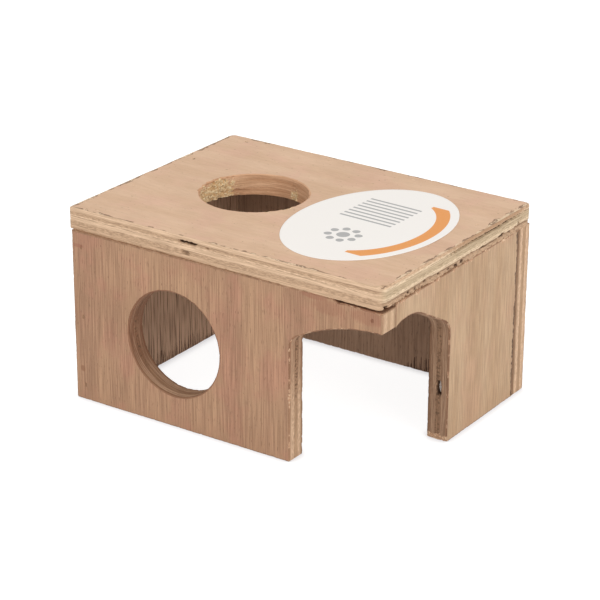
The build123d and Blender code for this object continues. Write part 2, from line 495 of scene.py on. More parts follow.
def eased_profile(board, edge, rows):
    """How far in and how deep each row lies at each point of an edge, with its arrises eased."""
    inner_side = board.thickness - rows.depth
    at_inner = inner_side < arris_radius
    ease = edge.quality("ease")
    inner_ease = ease * np.where(at_inner, board.underside_ease, 1.0)
    rounded = rows.edge & (rows.inset < arris_radius)
    inset = np.where(rounded, rows.inset * inner_ease, rows.inset)
    depth = np.where(rows.depth < arris_radius, rows.depth * ease, rows.depth)
    return inset, np.where(at_inner, board.thickness - inner_side * inner_ease, depth)


def edge_shift(board, edge, rows):
    """How far each row moves into the wood: the edge by its erosion, which fades out over both faces."""
    shift = np.zeros((len(edge.points), len(rows.inset)))
    shift[:, rows.edge] = erosion(board, edge, rows.depth[rows.edge])
    first, last = np.flatnonzero(rows.edge)[[0, -1]]
    for face, beside in ((rows.outer, first), (rows.inner, last)):
        fade = np.clip(1 - rows.inset[face] / fade_reach, 0, 1)
        shift[:, face] = np.maximum(shift[:, [beside]], 0) * fade
    return shift


def edge_strip(board, edge, rows):
    """A strip of points across an edge: what the material reads at each, its place on the board first."""
    inset, depth = eased_profile(board, edge, rows)
    shift = edge_shift(board, edge, rows)
    sink, inside_wear = worn_face(board, edge, rows)
    # Far rows crowd together before they reach another point's way.
    limit = room_share * edge.room()
    drawn = inset / (1 + (inset / limit) ** 3) ** (1 / 3) + shift
    u, v = np.moveaxis(edge.points[:, None, :] + edge.inward[:, None, :] * drawn[..., None], -1, 0)
    depth = depth + sink + corner_sanding(board, u, v) * np.clip(1 - rows.depth / (2 * fade_reach), 0, 1)
    depth[:, rows.outer] += face_damage(board, u[:, rows.outer], v[:, rows.outer])
    read = {
        "board_point": (u, v, depth),
        "cut": (edge.along[:, None], edge.end_share, np.where(rows.edge, shift, 0)),
        "wear": (rows.inset, burned(board, edge), rows.edge),
        "harm": (fraying(board, edge, rows), gaping(board, edge, rows), inside_wear),
    }
    return {name: np.stack(np.broadcast_arrays(*values), -1) for name, values in read.items()}


def inside_outlines(points, loops):
    """Which points lie in the wood, by counting the outlines to their right, some points at a time."""
    inside = np.zeros(len(points), bool)
    at_a_time = 4000
    for a in loops:
        b = np.roll(a, -1, axis=0)
        for start in range(0, len(points), at_a_time):
            some = slice(start, start + at_a_time)
            x, y = points[some, :1], points[some, 1:]
            spans = (a[:, 1] > y) != (b[:, 1] > y)
            with np.errstate(divide="ignore", invalid="ignore"):
                cross = (b[:, 0] - a[:, 0]) * (y - a[:, 1]) / (b[:, 1] - a[:, 1]) + a[:, 0]
            inside[some] ^= (spans & (x < cross)).sum(1) % 2 == 1
    return inside


def fill(loops, extra):
    """Triangles over the wood between outlines, by the numbers of the loops' and the added points."""
    points = np.concatenate(loops + [extra])
    edges, first = [], 0
    for loop in loops:
        edges += [(first + i, first + (i + 1) % len(loop)) for i in range(len(loop))]
        first += len(loop)
    found, _, faces, *_ = delaunay_2d_cdt([Vector(p) for p in points], edges, [], 0, 1e-7)
    if len(found) != len(points):
        raise ValueError(f"an outline crosses itself: {len(points)} points became {len(found)}")
    faces = np.array(faces)
    return faces[inside_outlines(points[faces].mean(1), loops)]


def crossings(us, vs):
    """The points where two rows of lines cross."""
    return np.stack([grid.ravel() for grid in np.meshgrid(us, vs)], 1)


def face_points(board, loops, seed):
    """Loose points over a face, close together at the brads, none near an outline."""
    grid = crossings(np.arange(0, board.width, face_pitch), np.arange(0, board.height, face_pitch))
    grid += np.random.default_rng(seed).uniform(-face_scatter, face_scatter, grid.shape)
    span = np.arange(-1.6, 1.61, brad_pitch)
    marks = [crossings(brad_u + span * wide_u, brad_v + span * wide_v)
             for brad_u, brad_v, wide_u, wide_v, _ in board.brads]
    points = np.concatenate([grid] + marks)
    points = points[inside_outlines(points, loops)]
    rim = np.concatenate(loops)[::2]
    near = np.array([np.min(np.sum((rim - p) ** 2, 1)) for p in points])
    return points[near > clear_of_outline ** 2]


class Patchwork:
    """A board's mesh, gathered patch by patch: points with what the material reads there, and faces."""

    def __init__(self, board):
        self.board, self.count = board, 0
        self.vertices, self.faces, self.read = [], [], {}

    def add(self, **read):
        """Adds a patch of points and gives their numbers, in the patch's own rows and columns."""
        shape = read["board_point"].shape[:-1]
        for name, values in read.items():
            self.read.setdefault(name, []).append(values.reshape(-1, 3))
        placed = self.board.place(*self.read["board_point"][-1].T)
        placed[:, 2] = np.maximum(placed[:, 2], 0)
        self.vertices.append(placed)
        numbers = self.count + np.arange(len(placed))
        self.count += len(placed)
        return numbers.reshape(shape)

    def finished(self):
        """The mesh object of all the patches."""
        return add_mesh(self.board.name, np.concatenate(self.vertices), self.faces,
                        {name: np.concatenate(values) for name, values in self.read.items()})


def build_board(board):
    """The board's mesh: a strip round every outline, and both faces filled between the strips."""
    rows = profile(board.thickness)
    patches = Patchwork(board)
    strips = []
    for corners in board.outlines:
        strip = edge_strip(board, trace(corners), rows)
        index = patches.add(**strip)
        beside = np.roll(index, -1, axis=0)
        quads = np.stack([index[:, :-1], index[:, 1:], beside[:, 1:], beside[:, :-1]], -1)
        patches.faces += quads.reshape(-1, 4).tolist()
        strips.append((index, strip["board_point"]))
    # The outer face starts at each strip's first row, the inner one at its last, and looks the other way.
    for row, level, seed in ((0, 0.0, board.seed + 4), (-1, board.thickness, board.seed + 5)):
        loops = [points[:, row, :2] for _, points in strips]
        extra = face_points(board, loops, seed)
        depth = np.full(len(extra), level)
        if level == 0:
            depth += face_damage(board, *extra.T) + corner_sanding(board, *extra.T)
        plain = {name: np.tile(values, (len(extra), 1)) for name, values in plain_face.items()}
        added = patches.add(board_point=np.column_stack([extra, depth]), **plain)
        number = np.concatenate([index[:, row] for index, _ in strips] + [added])
        triangles = number[fill(loops, extra)]
        patches.faces += (triangles if level == 0 else triangles[:, ::-1]).tolist()
    return patches.finished()


def add_mesh(name, vertices, faces, attributes=None, smooth_shading=True):
    """A mesh object at the origin from points in millimetres, with vector attributes on its points."""
    mesh = bpy.data.meshes.new(name)
    mesh.from_pydata((np.asarray(vertices) * MM).tolist(), [], faces)
    for key, values in (attributes or {}).items():
        attribute = mesh.attributes.new(key, "FLOAT_VECTOR", "POINT")
        attribute.data.foreach_set("vector", np.asarray(values, np.float32).ravel())
    mesh.validate()
    mesh.polygons.foreach_set("use_smooth", [smooth_shading] * len(mesh.polygons))
    mesh.update()
    thing = bpy.data.objects.new(name, mesh)
    bpy.context.scene.collection.objects.link(thing)
    return thing


def brad_boxes(node):
    """The lowest and the highest corner of each brad in a packed group, in millimetres."""
    mesh = frame["nodes"][node].data
    parent = list(range(len(mesh.vertices)))

    def root(i):
        while parent[i] != i:
            parent[i] = parent[parent[i]]
            i = parent[i]
        return i

    # Points at one place belong together, and so do the ends of an edge.
    places = {}
    for vertex in mesh.vertices:
        key = tuple(round(c / MM, 2) for c in vertex.co)
        places.setdefault(key, vertex.index)
        parent[root(vertex.index)] = root(places[key])
    for edge in mesh.edges:
        parent[root(edge.vertices[0])] = root(edge.vertices[1])
    pieces = {}
    for vertex in mesh.vertices:
        pieces.setdefault(root(vertex.index), []).append(np.array(vertex.co) / MM)
    return [(np.min(piece, axis=0), np.max(piece, axis=0)) for piece in pieces.values()]


roof = Board("roof_board", "roof_panel", (1, 0, 0), (0, 0, 1), seed=11,
             turn=roof_turn, shift=roof_shift, upright=False)
front = Board("front_board", "front_panel", (1, 0, 0), (0, -1, 0), seed=2200)
back = Board("back_board", "back_panel", (-1, 0, 0), (0, 1, 0), seed=3300)
left_end = Board("left_end_board", "left_end_panel", (0, -1, 0), (-1, 0, 0), seed=4400)
right_end = Board("right_end_board", "right_end_panel", (0, 1, 0), (1, 0, 0), seed=5500)
boards = (roof, front, back, left_end, right_end)

roof.wear_depth, roof.wear_reach = 0.22, 1.1
roof.underside_ease, roof.underside_tear, roof.end_tear = 0.2, 0.1, 0.95
roof.sanded_corners = [(roof.width, 0, 7.0, 0.9)]
# Painted light and shade on the front's cuts: paler towards the ground, darker higher up
front.burn_and_shade_heights = ((15, 50, 0.1), (15, 32, 0.55))

# Feet and outer corners are eased; the tops fit close under the roof
wall_corner_radii = (wall_corner_radius, wall_corner_radius, snug_corner_radius, snug_corner_radius)
roof_hole, roof_hole_radius = bore("roof_hole")
front_hole, front_hole_radius = bore("front_hole")
roof.outlines = [
    rectangle(roof.width, roof.height, roof_corner_radii, [sawn] * 4),
    circle(*roof.flat(roof_hole), roof_hole_radius, drilled),
]
jamb, haunch, crown, crown_end = door_points(**front_door, end=0.0)
front.outlines = [
    [(0, 0, wall_corner_radius, sawn)]
    + [(front.width - distance, height, radius, milled)
       for distance, height, radius in (jamb, haunch, crown)]
    + [(front.width, crown_end[1], wall_corner_radius, flush)]
    + [(front.width - run, front.height - drop, radius, split if drop else butted)
       for run, drop, radius in lintel_split]
    + [(0, front.height, snug_corner_radius, sawn)],
    circle(*front.flat(front_hole), front_hole_radius, bored),
]
corner_gap = node_box("right_end_panel")[0][1] - node_box("front_panel")[0][1]
jamb, haunch, crown, crown_end = door_points(**side_door, end=corner_gap)
right_end.outlines = [
    [(jamb[0] - corner_gap, 0, wall_corner_radius, sawn),
     (right_end.width, 0, snug_corner_radius, jointed),
     (right_end.width, right_end.height, snug_corner_radius, glued),
     (0, right_end.height, snug_corner_radius, glued)]
    + [(distance - corner_gap, height, radius, scorched)
       for distance, height, radius in (crown_end, crown, haunch)],
]
back.outlines = [rectangle(back.width, back.height, wall_corner_radii, (sawn, sawn, glued, sawn))]
left_end.outlines = [rectangle(left_end.width, left_end.height, wall_corner_radii,
                               (sawn, jointed, glued, jointed))]

# Voids: slits and knots along the roof's front edge, then a long crack, gaps and pits along its
# right-hand one, and a knot in the jamb
roof.voids = [
    (64.3, 0, 2.4, 5.0, 0.7, 2.6),
    (63.3, 0, 7.0, 2.3, 0.85, 1.15),
    (74.5, 0, 2.7, 1.0, 0.35, 1.2),
    (162, 82, 2.0, 29.0, 0.55, 2.4),
    (162, 87.5, 2.2, 3.5, 0.45, 1.8),
    (162, 95, 7.0, 1.8, 0.8, 2.2),
    (162, 83, 7.6, 7.0, 0.3, 1.5),
    (162, 109.3, 5.9, 1.3, 0.9, 2.4),
    (162, 20.7, 8.5, 0.9, 0.5, 1.5),
    (162, 25.7, 8.5, 0.8, 0.5, 1.4),
    (162, 32.3, 7.6, 1.0, 0.5, 1.4),
    (162, 43.5, 7.8, 1.3, 0.5, 1.4),
    (162, 51.6, 8.3, 1.1, 0.6, 1.6),
    (162, 57.4, 9.0, 1.5, 0.8, 2.4),
    (162, 62.3, 8.7, 1.0, 0.6, 1.5),
    (162, 3.6, 9.6, 1.4, 0.8, 2.0),
]
right_end.voids = [(44, 24.4, 4.8, 3.3, 1.15, 3.2)]

# Torn places round the roof's hole, at the jamb's foot and along the top of the right-hand end
roof.torn = [
    (30.8, 60, 15, 0.8, 1.3),
    (61, 84.5, 2.5, 0.3, 5.0),
    (76, 73, 7.0, 0.3, 3.0),
    (78, 53.4, 4.5, 0.4, 0.0),
    (73, 46, 3, 0.3, 0.0),
]
right_end.torn = [(44, 0.8, 2.2, 0.15, 0.0)]
right_end.torn += [(u, right_end.height, half_length, 0.1, 0.0)
                   for u, half_length in ((4, 5), (17, 3), (31, 5), (47, 3), (58, 5), (74, 4), (90, 6))]

# Brad marks: the slit over each head, with some play round it. The veneer has closed over all but
# every fifth one of a board.
brad_joints = {
    "roof_to_front_brads": roof, "roof_to_back_brads": roof,
    "roof_to_left_end_brads": roof, "roof_to_right_end_brads": roof,
    "front_to_left_end_brads": front, "front_to_right_end_brads": front,
    "back_to_left_end_brads": back, "back_to_right_end_brads": back,
}
head_play = 0.15
for joint, board in brad_joints.items():
    for low, high in brad_boxes(joint):
        u, v = board.flat((low + high) / 2)
        half = (high - low) / 2 + head_play
        openness = 1.0 if (len(board.brads) + 1) % 5 == 0 else 0.25
        board.brads.append((u, v, abs(half @ board.across), abs(half @ board.upward), openness))

board_objects = [build_board(board) for board in boards]


# ---- Label -------------------------------------------------------------------------------------

def build_label():
    """The paper oval: rings from its middle to a rounded rim that lifts a little in places."""
    low, high = node_box("roof_label")
    centre = (low + high) / 2
    thickness = high[2] - low[2]
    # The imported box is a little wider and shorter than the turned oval's own axes.
    box_x, box_y = ((high - low)[:2] / 2) ** 2
    cos2, sin2 = math.cos(label_turn) ** 2, math.sin(label_turn) ** 2
    half_width = math.sqrt((box_x * cos2 - box_y * sin2) / (cos2 ** 2 - sin2 ** 2))
    half_length = math.sqrt((box_y * cos2 - box_x * sin2) / (cos2 ** 2 - sin2 ** 2))
    angle = np.linspace(0, 2 * math.pi, label_spokes, endpoint=False)
    rows = [(share, 1.0) for share in np.linspace(0.02, 1, label_rings) ** 0.8]
    rows += [(1.0015, 0.6), (1.0015, 0.3), (1.0, 0.0)]
    rows += [(share, 0.0) for share in (0.97, 0.9, 0.6, 0.3, 0.02)]
    vertices, local = [], []
    for share, height in rows:
        x, y = half_width * share * np.cos(angle), half_length * share * np.sin(angle)
        lift = label_lift * smooth(0.9, 1.0, share) * smooth(-0.1, 0.9, noise(angle * 2.2, 0, 77))
        wave = label_wave * noise(x / 14, y / 14, 78) * (1 - share ** 8)
        z = low[2] + label_bed + thickness * height + lift + np.maximum(wave, -0.02) * height
        vertices.append(np.column_stack([np.stack([x, y], 1) @ turned(label_turn).T + centre[:2], z]))
        local.append(np.column_stack([x / half_width, y / half_length, np.full(label_spokes, share)]))
    index = np.arange(len(rows) * label_spokes).reshape(len(rows), label_spokes)
    beside = np.roll(index, -1, axis=1)
    faces = np.stack([index[:-1], index[1:], beside[1:], beside[:-1]], -1).reshape(-1, 4).tolist()
    faces += [index[0].tolist(), index[-1][::-1].tolist()]
    return add_mesh("paper_label", np.concatenate(vertices), faces, {"print_point": np.concatenate(local)})


label_object = build_label()


# ---- Node trees --------------------------------------------------------------------------------

class Signal:
    """What a socket of a node tree gives. Sums, products and the like of it are drawn as nodes."""

    def __init__(self, wiring, socket):
        self.wiring, self.socket = wiring, socket

    def __add__(self, other):
        return self.wiring.math("ADD", self, other)

    def __sub__(self, other):
        return self.wiring.math("SUBTRACT", self, other)

    def __rsub__(self, other):
        return self.wiring.math("SUBTRACT", other, self)

    def __mul__(self, other):
        return self.wiring.math("MULTIPLY", self, other)

    def __truediv__(self, other):
        return self.wiring.math("DIVIDE", self, other)

    def __abs__(self):
        return self.wiring.math("ABSOLUTE", self)


class Wiring:
    """A node tree being drawn, with short calls that add nodes and join them."""

    def __init__(self, tree):
        self.tree = tree

    def join(self, value, socket):
        if isinstance(value, Signal):
            self.tree.links.new(value.socket, socket)
        elif value is not None:
            socket.default_value = value

    def add(self, kind, settings=None, **inputs):
        """A node with its settings, and its inputs by name, an underscore for each blank."""
        node = self.tree.nodes.new(kind)
        for key, value in (settings or {}).items():
            setattr(node, key, value)
        for key, value in inputs.items():
            self.join(value, node.inputs[key.replace("_", " ")])
        return node

    def draw(self, kind, settings=None, given=(), out=0, **inputs):
        """What a new node gives, its inputs given in their own order or by name."""
        node = self.add(kind, settings, **inputs)
        for value, socket in zip(given, node.inputs):
            self.join(value, socket)
        return Signal(self, node.outputs[out])

    def math(self, operation, *values):
        return self.draw("ShaderNodeMath", {"operation": operation}, values)

    def larger(self, a, b):
        return self.math("MAXIMUM", a, b)

    def split(self, vector):
        node = self.add("ShaderNodeSeparateXYZ", Vector=vector)
        return [Signal(self, socket) for socket in node.outputs]

    def combine(self, x, y, z):
        return self.draw("ShaderNodeCombineXYZ", None, (x, y, z))

    def moved(self, point, x, y=0.0):
        return self.draw("ShaderNodeVectorMath", {"operation": "ADD"}, (point, self.combine(x, y, 0.0)))

    def attribute(self, name):
        return self.draw("ShaderNodeAttribute", {"attribute_type": "GEOMETRY", "attribute_name": name},
                         out="Vector")

    def noise(self, vector, scale=1.0, detail=2.0, roughness=0.5, distortion=0.0):
        return self.draw("ShaderNodeTexNoise", Vector=vector, Scale=scale, Detail=detail,
                         Roughness=roughness, Distortion=distortion, out="Fac")

    def span(self, value, low, high, out_low=0.0, out_high=1.0):
        """Maps low..high of a value softly to out_low..out_high and holds it there outside."""
        return self.draw("ShaderNodeMapRange", {"interpolation_type": "SMOOTHSTEP"},
                         (value, low, high, out_low, out_high))

    def band(self, value, low, high, soft):
        """1 where a value is between low and high, fading out within them over a soft stretch."""
        return self.span(value, low, low + soft) * self.span(value, high, high - soft)

    def mix(self, factor, a, b, blend="MIX"):
        """Colour a with that share of colour b mixed or multiplied in."""
        node = self.add("ShaderNodeMix", {"data_type": "RGBA", "blend_type": blend, "clamp_factor": True})
        for value, number in ((factor, 0), (a, 6), (b, 7)):
            self.join(value, node.inputs[number])
        return Signal(self, node.outputs[2])

    def ramp(self, factor, plies):
        """The tones of the plies by a factor, each held up to where it turns into the next."""
        stops, start = [], 0.0
        for reach, blend, colour in plies:
            stops += [(start, colour), (reach - blend, colour)]
            start = reach + blend
        node = self.add("ShaderNodeValToRGB", Fac=factor)
        elements = node.color_ramp.elements
        while len(elements) < len(stops):
            elements.new(1.0)
        for element, (place, colour) in zip(elements, stops):
            element.position = place
            element.color = colour
        return Signal(self, node.outputs[0])

    def group(self, tree, **inputs):
        """The outputs of a node group by their names."""
        node = self.add("ShaderNodeGroup", {"node_tree": tree}, **inputs)
        return {socket.name: Signal(self, socket) for socket in node.outputs}

    def bump(self, shader, strength, distance, height):
        node = self.draw("ShaderNodeBump", Strength=strength, Distance=distance, Height=height)
        self.join(node, shader.inputs["Normal"])


def new_group(name, outputs, **inputs):
    """An empty node group: the wiring to draw in it, and its inputs. One without a value is a vector."""
    tree = bpy.data.node_groups.new(name, "ShaderNodeTree")
    for key, value in inputs.items():
        kind = "NodeSocketVector" if value is None else "NodeSocketFloat"
        socket = tree.interface.new_socket(key.replace("_", " "), in_out="INPUT", socket_type=kind)
        if value is not None:
            socket.default_value = value
    for key in outputs:
        tree.interface.new_socket(key, in_out="OUTPUT", socket_type="NodeSocketFloat")
    w = Wiring(tree)
    given = w.add("NodeGroupInput").outputs
    return w, [Signal(w, socket) for socket in given[:len(inputs)]]


def close_group(w, **outputs):
    """Joins a group's outputs and hands over its tree."""
    w.add("NodeGroupOutput", **outputs)
    return w.tree


def face_grain_group():
    """Grain of a sliced face veneer: streaks and pores along it, broad bands across it."""
    w, (point, streak_width, streak_length, pore_width, pore_length, pore_level, seed) = new_group(
        "face_grain", ("Streaks", "Bands", "Pores", "Blotches"), Point=None, Streak_Width=0.6,
        Streak_Length=14.0, Pore_Width=0.45, Pore_Length=3.0, Pore_Level=0.68, Seed=0.0)
    across, along, _ = w.split(point)
    swayed = across + (w.noise(w.combine(across * 0.03, along * 0.015, seed)) - 0.5) * 2.0
    streak, run = swayed / streak_width, along / streak_length
    fine = w.noise(w.combine(streak, run, seed))
    hair = w.noise(w.combine(streak * 2.6, run * 1.7, seed + 4.0), detail=1.0)
    pores = w.noise(w.combine(swayed / pore_width, along / pore_length, seed + 15.0), detail=1.0)
    return close_group(
        w,
        Streaks=fine * 0.62 + hair * 0.38,
        Bands=w.noise(w.combine(swayed * 0.085, along * 0.007, seed + 9.0), detail=3.0, roughness=0.55),
        Pores=w.span(pores, pore_level, pore_level + 0.07),
        Blotches=w.noise(w.combine(across * 0.055, along * 0.04, seed + 21.0), detail=3.0, roughness=0.6))


def ply_edge_group():
    """Fibres of cut plies: long streaks where the cut runs with the grain, speckle where it crosses."""
    w, (along, depth, crossing, ply, seed) = new_group(
        "ply_edge", ("Warped Depth", "Fibres", "Pits", "Glue Lines", "Core Pits"),
        Along=0.0, Depth=0.0, Crossing=0.0, Ply=2.0, Seed=0.0)
    slow = w.noise(w.combine(along * 0.035, depth, seed), scale=0.6, detail=3.0)
    warped = depth + (slow - 0.5) * 0.6
    # A glue line lies wherever a step between the plies does, but not on the faces, and it is broken.
    step = warped / ply + 0.5
    off_line = abs(w.math("FRACT", step) - 0.5)
    broken = w.noise(w.combine(along * 0.25, step, seed), detail=3.0)
    inner_lines = w.math("GREATER_THAN", step, 1.0) * w.math("LESS_THAN", step, 5.0)
    long_grain = w.noise(w.combine(along * 0.07, depth * 2.4, seed), detail=4.0, roughness=0.62)
    end_grain = w.noise(w.combine(along * 0.45, depth * 1.8, seed + 7.0), detail=4.0, roughness=0.6)
    loose = w.noise(w.combine(along * 0.8, depth * 0.7, seed + 31.0), detail=2.0)
    return close_group(
        w,
        Warped_Depth=warped,
        Fibres=long_grain * (1.0 - crossing) + end_grain * crossing,
        Pits=w.span(end_grain, 0.64, 0.74),
        Glue_Lines=w.span(off_line, 0.09, 0.03) * (inner_lines * w.span(broken, 0.4, 0.6)),
        Core_Pits=w.span(loose, 0.5, 0.6))


def soiling_group():
    """Handling: a soft unevenness of colour and of sheen all over."""
    w, (point, seed) = new_group("soiling", ("Tone", "Dust"), Point=None, Seed=0.0)
    moved = w.moved(point, seed)
    return close_group(w, Tone=w.noise(moved, scale=0.03, detail=4.0, roughness=0.55),
                       Dust=w.noise(moved, scale=0.9, detail=3.0, roughness=0.7))


def frayed_fibre_group():
    """Torn-out fibres: clumps of ochre, pale tufts on top of them and dark holes between."""
    w, (point, seed) = new_group("frayed_fibre", ("Tufts", "Holes"), Point=None, Seed=0.0)
    moved = w.moved(point, seed, 3.0)
    tufts = w.noise(moved, scale=0.9, detail=3.0, roughness=0.65)
    holes = w.noise(moved, scale=1.5, detail=2.0, roughness=0.6, distortion=0.4)
    return close_group(w, Tufts=w.span(tufts, 0.42, 0.62), Holes=w.span(holes, 0.6, 0.7))


def veneer_end_group():
    """Veneer sanded through beside an edge: broken brown lines at its two steps, the glue line with
    painted shade under the lifted veneer, and bared wood inside.
    """
    w, (point, inside, seed) = new_group("veneer_end", ("Lines", "Bared"),
                                         Point=None, Inside=unworn, Seed=0.0)
    moved = w.moved(point, seed, 5.0)
    inside = inside + (w.noise(moved, scale=0.3, detail=4.0, roughness=0.5) - 0.5) * 1.4
    thick = w.span(w.noise(moved, scale=0.13, detail=4.0, roughness=0.65), 0.37, 0.57, -0.1, 0.6)
    first = w.span(abs(inside) - thick, 0.05, -0.12)
    second = w.span(abs(inside - 1.1) - thick, -0.05, -0.25)
    return close_group(w, Lines=w.larger(first, second), Bared=w.span(inside, -0.1, 0.3))


face_grain = face_grain_group()
ply_edge = ply_edge_group()
soiling = soiling_group()
frayed_fibre = frayed_fibre_group()
veneer_end = veneer_end_group()


# ---- Tones -------------------------------------------------------------------------------------

studio_brightness = 1.06


def tone(red, green, blue):
    """Base colour of a surface that looks like this under the studio light, from 0..255 values."""
    linear = [((c / 255 + 0.055) / 1.055) ** 2.4 if c > 10 else c / 3295 for c in (red, green, blue)]
    return (*(min(1.0, c / studio_brightness) for c in linear), 1.0)


# The darkest brown serves for dark wood and for painted shade
dark_wood_and_shade = (0.075, 0.035, 0.018, 1)
pit_brown = (0.12, 0.065, 0.035, 1)
glue_brown = (0.18, 0.1, 0.055, 1)
fuzz_hole_brown = (0.2, 0.12, 0.06, 1)
veneer_end_brown = (0.17, 0.088, 0.05, 1)
# Near white for a painted highlight at the bottom of the deepest void
painted_void_highlight = (1.0, 0.93, 0.86, 1)
bared_wood = tone(228, 203, 170)
rusty, ruddy, knot_brown = tone(128, 84, 62), tone(150, 98, 78), tone(140, 100, 74)
# A dusty tone, and a brown for painted shade on the roof's right-hand edge
dusty, painted_edge_shade = tone(188, 156, 124), tone(170, 132, 100)
ochre_fuzz = (tone(216, 176, 126), tone(246, 224, 182))
tan_fuzz = (tone(186, 140, 108), tone(224, 190, 156))

# The heights between which the walls' inner faces are painted darker towards the roof, a painted shade
# under it
shaded_heights = (48.0, 72.0)

# Shades that a colour is multiplied with, each the darkest and the lightest
streak_shades = ((0.55, 0.49, 0.44, 1), (1.38, 1.37, 1.34, 1))
handled_shades = ((0.93, 0.91, 0.89, 1), (1.05, 1.05, 1.05, 1))
ring_shades = ((0.66, 0.62, 0.56, 1), (1.2, 1.2, 1.17, 1))

# Tones of the plies and of the glue between them. The brown one is the walls' face veneer.
straw_ply, pale_ply, cream_ply = tone(220, 195, 165), tone(217, 185, 155), tone(210, 176, 146)
tan_ply, olive_ply, shaded_ply = tone(204, 171, 141), tone(192, 169, 139), tone(189, 157, 128)
grey_ply, brown_ply, dark_glue = tone(177, 144, 114), tone(154, 118, 91), tone(140, 109, 83)

# Plies from the outer face in, as (the share of the thickness that one reaches to, half the stretch over
# which it turns into the next, tone): the roof's and the walls' boards, each cut along the grain of its
# face and across it
roof_plies = (
    ((0.165, 0.025, pale_ply), (0.315, 0.025, shaded_ply), (0.6, 0.03, pale_ply),
     (0.77, 0.03, shaded_ply), (0.985, 0.015, tan_ply), (1.0, 0.0, grey_ply)),
    ((0.105, 0.025, tan_ply), (0.23, 0.03, straw_ply), (0.525, 0.025, olive_ply),
     (0.675, 0.03, straw_ply), (0.75, 0.03, dark_glue), (1.0, 0.0, shaded_ply)),
)
wall_plies = (
    ((0.11, 0.03, brown_ply), (0.355, 0.025, cream_ply), (0.63, 0.03, grey_ply),
     (0.89, 0.03, cream_ply), (1.0, 0.0, brown_ply)),
    ((0.085, 0.045, brown_ply), (0.35, 0.04, cream_ply), (0.605, 0.035, grey_ply),
     (0.855, 0.075, cream_ply), (1.0, 0.0, dark_glue)),
)


# ---- Materials ---------------------------------------------------------------------------------

def new_material(name):
    """A material, the wiring of its nodes and its shader."""
    material = bpy.data.materials.new(name)
    material.use_nodes = True
    material.node_tree.nodes.clear()
    w = Wiring(material.node_tree)
    shader = w.add("ShaderNodeBsdfPrincipled")
    w.add("ShaderNodeOutputMaterial", Surface=Signal(w, shader.outputs[0]))
    return material, w, shader


